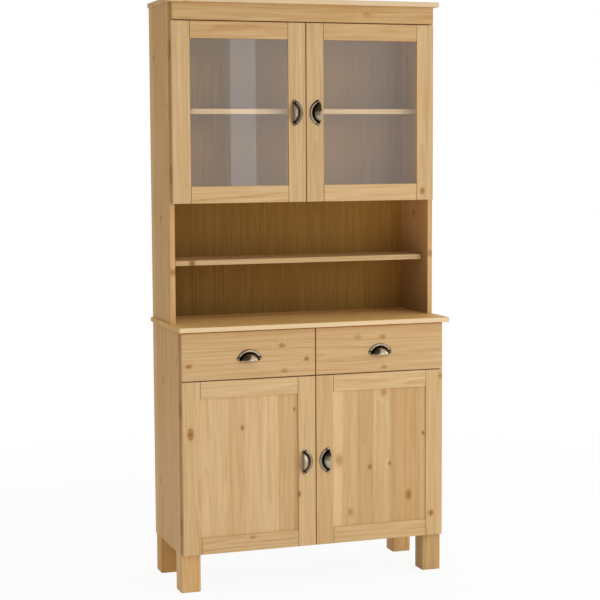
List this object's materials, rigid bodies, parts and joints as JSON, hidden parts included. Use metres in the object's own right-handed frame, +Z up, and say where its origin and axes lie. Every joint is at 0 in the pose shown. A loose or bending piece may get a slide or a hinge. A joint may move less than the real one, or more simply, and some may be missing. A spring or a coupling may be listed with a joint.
{
  "type": "welsh dresser",
  "caption": "Pine dresser: base cupboard with panelled doors and drawers on block feet, topped by a shallow hutch with an open niche and glazed doors.",
  "frame": {"origin": "on the floor, under the middle of the overall box", "axes": "+Z up, -Y towards the front, +X along the front to the right"},
  "size_m": [0.866, 0.354, 1.78],
  "materials": {
    "pine": "waxed honey pine",
    "back_board": "brown veneered thin board",
    "drawer_board": "plain thin board",
    "beech": "bare beech",
    "clear_glass": "clear float glass",
    "antique_pewter": "antique pewter, rubbed bright on the crown",
    "hinge_steel": "antiqued steel",
    "catch_plastic": "brown moulded plastic"
  },
  "bodies": {
    "carcass": {"base_back": "back_board", "base_floor": "pine", "base_shelf": "pine", "base_side_left": "pine", "base_side_right": "pine", "cupboard_shelf": "pine", "dowels": "beech", "drawer_divider": "pine", "drawer_runners": "beech", "dust_board": "pine", "fascia": "pine", "foot_back_left": "pine", "foot_back_right": "pine", "foot_front_left": "pine", "foot_front_right": "pine", "hinge_frame_leaves": "hinge_steel", "hinge_pins": "hinge_steel", "hutch_back": "back_board", "hutch_floor": "pine", "hutch_side_left": "pine", "hutch_side_right": "pine", "magnet_catches": "catch_plastic", "niche_shelf": "pine", "shelf_pins": "hinge_steel", "top_board": "pine", "worktop": "pine"},
    "upper_left_door": {"upper_left_door_beads": "pine", "upper_left_door_glass": "clear_glass", "upper_left_door_hinge_leaves": "hinge_steel", "upper_left_door_pull": "antique_pewter", "upper_left_door_rails": "pine", "upper_left_door_stiles": "pine"},
    "upper_right_door": {"upper_right_door_beads": "pine", "upper_right_door_glass": "clear_glass", "upper_right_door_hinge_leaves": "hinge_steel", "upper_right_door_pull": "antique_pewter", "upper_right_door_rails": "pine", "upper_right_door_stiles": "pine"},
    "lower_left_door": {"lower_left_door_hinge_leaves": "hinge_steel", "lower_left_door_panel": "pine", "lower_left_door_pull": "antique_pewter", "lower_left_door_rails": "pine", "lower_left_door_stiles": "pine"},
    "lower_right_door": {"lower_right_door_hinge_leaves": "hinge_steel", "lower_right_door_panel": "pine", "lower_right_door_pull": "antique_pewter", "lower_right_door_rails": "pine", "lower_right_door_stiles": "pine"},
    "left_drawer": {"left_drawer_back": "pine", "left_drawer_bottom": "drawer_board", "left_drawer_front": "pine", "left_drawer_inner_side": "pine", "left_drawer_outer_side": "pine", "left_drawer_pull": "antique_pewter"},
    "right_drawer": {"right_drawer_back": "pine", "right_drawer_bottom": "drawer_board", "right_drawer_front": "pine", "right_drawer_inner_side": "pine", "right_drawer_outer_side": "pine", "right_drawer_pull": "antique_pewter"}
  },
  "joints": [
    {"name": "upper_left_door_hinge", "type": "hinge", "parent": "carcass", "child": "upper_left_door", "pos_m": [-0.4227, -0.0567, 1.4405], "axis": [0, 0, -1], "range_deg": [0, 110]},
    {"name": "upper_right_door_hinge", "type": "hinge", "parent": "carcass", "child": "upper_right_door", "pos_m": [0.4227, -0.0567, 1.4405], "axis": [0, 0, 1], "range_deg": [0, 110]},
    {"name": "lower_left_door_hinge", "type": "hinge", "parent": "carcass", "child": "lower_left_door", "pos_m": [-0.4227, -0.1337, 0.38025], "axis": [0, 0, -1], "range_deg": [0, 110]},
    {"name": "lower_right_door_hinge", "type": "hinge", "parent": "carcass", "child": "lower_right_door", "pos_m": [0.4227, -0.1337, 0.38025], "axis": [0, 0, 1], "range_deg": [0, 110]},
    {"name": "left_drawer_slide", "type": "slide", "parent": "carcass", "child": "left_drawer", "axis": [0, -1, 0], "range_m": [0, 0.2]},
    {"name": "right_drawer_slide", "type": "slide", "parent": "carcass", "child": "right_drawer", "axis": [0, -1, 0], "range_m": [0, 0.2]}
  ]
}
